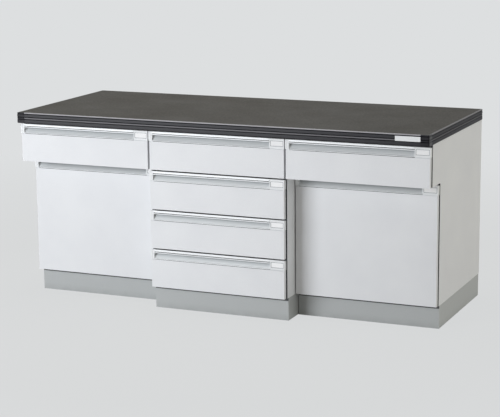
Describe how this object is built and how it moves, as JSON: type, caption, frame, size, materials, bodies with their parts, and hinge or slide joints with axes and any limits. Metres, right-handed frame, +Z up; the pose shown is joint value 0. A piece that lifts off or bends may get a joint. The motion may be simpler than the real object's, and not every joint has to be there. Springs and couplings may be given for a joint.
{
  "type": "wall lab bench",
  "caption": "Wall lab bench: dark worktop with grooved edging over white cabinets with full-length handles, telescopic drawers, doors set back for knees, and grey plinths.",
  "frame": {"origin": "on the floor under the middle of the bench's width and depth", "axes": "+X along the bench to the right as seen from the front, front faces -Y, +Z up"},
  "size_m": [1.8, 0.75, 0.8],
  "materials": {
    "white_melamine_board": "satin white melamine on particle board",
    "anodised_aluminium": "satin anodised, drawn lengthwise",
    "moulded_end_plastic": "fine moulded satin",
    "drawer_box_board": "pale foil-wrapped board",
    "zinc_plated_steel": "bright zinc plate",
    "nickel_plated_steel": "nickel plate",
    "grey_plinth_board": "satin grey laminate",
    "white_hardboard": "painted hardboard",
    "clear_rubber": "soft translucent rubber",
    "dark_laminate_board": "matt dark grey-brown laminate on board",
    "dark_grey_edging": "extruded satin plastic"
  },
  "bodies": {
    "bench": {"left_carcass": "white_melamine_board", "left_plinth": "grey_plinth_board", "centre_carcass": "white_melamine_board", "centre_plinth": "grey_plinth_board", "right_carcass": "white_melamine_board", "right_plinth": "grey_plinth_board", "door_hinge_arms": "nickel_plated_steel", "shelves": "white_melamine_board", "shelf_pins": "nickel_plated_steel", "back_panels": "white_hardboard", "front_bumpers": "clear_rubber", "slide_outer": "zinc_plated_steel", "worktop_core": "dark_laminate_board", "worktop_front_edging": "dark_grey_edging", "worktop_side_edgings": "dark_grey_edging", "worktop_corner_caps": "dark_grey_edging"},
    "left_drawer": {"left_drawer_front": "white_melamine_board", "left_drawer_handle": "anodised_aluminium", "left_drawer_handle_ends": "moulded_end_plastic", "left_drawer_box": "drawer_box_board", "left_drawer_slide_inner": "zinc_plated_steel"},
    "left_drawer_middle_slides": {"left_drawer_slide_middle": "zinc_plated_steel"},
    "right_drawer": {"right_drawer_front": "white_melamine_board", "right_drawer_handle": "anodised_aluminium", "right_drawer_handle_ends": "moulded_end_plastic", "right_drawer_box": "drawer_box_board", "right_drawer_slide_inner": "zinc_plated_steel"},
    "right_drawer_middle_slides": {"right_drawer_slide_middle": "zinc_plated_steel"},
    "centre_drawer_1": {"centre_drawer_1_front": "white_melamine_board", "centre_drawer_1_handle": "anodised_aluminium", "centre_drawer_1_handle_ends": "moulded_end_plastic", "centre_drawer_1_box": "drawer_box_board", "centre_drawer_1_slide_inner": "zinc_plated_steel"},
    "centre_drawer_1_middle_slides": {"centre_drawer_1_slide_middle": "zinc_plated_steel"},
    "centre_drawer_2": {"centre_drawer_2_front": "white_melamine_board", "centre_drawer_2_handle": "anodised_aluminium", "centre_drawer_2_handle_ends": "moulded_end_plastic", "centre_drawer_2_box": "drawer_box_board", "centre_drawer_2_slide_inner": "zinc_plated_steel"},
    "centre_drawer_2_middle_slides": {"centre_drawer_2_slide_middle": "zinc_plated_steel"},
    "centre_drawer_3": {"centre_drawer_3_front": "white_melamine_board", "centre_drawer_3_handle": "anodised_aluminium", "centre_drawer_3_handle_ends": "moulded_end_plastic", "centre_drawer_3_box": "drawer_box_board", "centre_drawer_3_slide_inner": "zinc_plated_steel"},
    "centre_drawer_3_middle_slides": {"centre_drawer_3_slide_middle": "zinc_plated_steel"},
    "centre_drawer_4": {"centre_drawer_4_front": "white_melamine_board", "centre_drawer_4_handle": "anodised_aluminium", "centre_drawer_4_handle_ends": "moulded_end_plastic", "centre_drawer_4_box": "drawer_box_board", "centre_drawer_4_slide_inner": "zinc_plated_steel"},
    "centre_drawer_4_middle_slides": {"centre_drawer_4_slide_middle": "zinc_plated_steel"},
    "left_door": {"left_door_front": "white_melamine_board", "left_door_handle": "anodised_aluminium", "left_door_handle_ends": "moulded_end_plastic", "left_door_hinge_cups": "nickel_plated_steel"},
    "right_door": {"right_door_front": "white_melamine_board", "right_door_handle": "anodised_aluminium", "right_door_handle_ends": "moulded_end_plastic", "right_door_hinge_cups": "nickel_plated_steel"}
  },
  "joints": [
    {"name": "left_drawer_slide", "type": "slide", "parent": "bench", "child": "left_drawer", "axis": [0, -1, 0], "range_m": [0, 0.45]},
    {"name": "left_drawer_middle_slide", "type": "slide", "parent": "bench", "child": "left_drawer_middle_slides", "axis": [0, -1, 0], "range_m": [0, 0.225]},
    {"name": "right_drawer_slide", "type": "slide", "parent": "bench", "child": "right_drawer", "axis": [0, -1, 0], "range_m": [0, 0.45]},
    {"name": "right_drawer_middle_slide", "type": "slide", "parent": "bench", "child": "right_drawer_middle_slides", "axis": [0, -1, 0], "range_m": [0, 0.225]},
    {"name": "centre_drawer_1_slide", "type": "slide", "parent": "bench", "child": "centre_drawer_1", "axis": [0, -1, 0], "range_m": [0, 0.45]},
    {"name": "centre_drawer_1_middle_slide", "type": "slide", "parent": "bench", "child": "centre_drawer_1_middle_slides", "axis": [0, -1, 0], "range_m": [0, 0.225]},
    {"name": "centre_drawer_2_slide", "type": "slide", "parent": "bench", "child": "centre_drawer_2", "axis": [0, -1, 0], "range_m": [0, 0.45]},
    {"name": "centre_drawer_2_middle_slide", "type": "slide", "parent": "bench", "child": "centre_drawer_2_middle_slides", "axis": [0, -1, 0], "range_m": [0, 0.225]},
    {"name": "centre_drawer_3_slide", "type": "slide", "parent": "bench", "child": "centre_drawer_3", "axis": [0, -1, 0], "range_m": [0, 0.45]},
    {"name": "centre_drawer_3_middle_slide", "type": "slide", "parent": "bench", "child": "centre_drawer_3_middle_slides", "axis": [0, -1, 0], "range_m": [0, 0.225]},
    {"name": "centre_drawer_4_slide", "type": "slide", "parent": "bench", "child": "centre_drawer_4", "axis": [0, -1, 0], "range_m": [0, 0.45]},
    {"name": "centre_drawer_4_middle_slide", "type": "slide", "parent": "bench", "child": "centre_drawer_4_middle_slides", "axis": [0, -1, 0], "range_m": [0, 0.225]},
    {"name": "left_door_hinge", "type": "hinge", "parent": "bench", "child": "left_door", "pos_m": [-0.8875, -0.234, 0.34087], "axis": [0, 0, -1], "range_deg": [0, 95]},
    {"name": "right_door_hinge", "type": "hinge", "parent": "bench", "child": "right_door", "pos_m": [0.8875, -0.234, 0.34087], "axis": [0, 0, 1], "range_deg": [0, 95]}
  ],
  "couplings": [
    {"joint": "left_drawer_middle_slide", "follows": "left_drawer_slide", "ratio": 0.5},
    {"joint": "right_drawer_middle_slide", "follows": "right_drawer_slide", "ratio": 0.5},
    {"joint": "centre_drawer_1_middle_slide", "follows": "centre_drawer_1_slide", "ratio": 0.5},
    {"joint": "centre_drawer_2_middle_slide", "follows": "centre_drawer_2_slide", "ratio": 0.5},
    {"joint": "centre_drawer_3_middle_slide", "follows": "centre_drawer_3_slide", "ratio": 0.5},
    {"joint": "centre_drawer_4_middle_slide", "follows": "centre_drawer_4_slide", "ratio": 0.5}
  ]
}
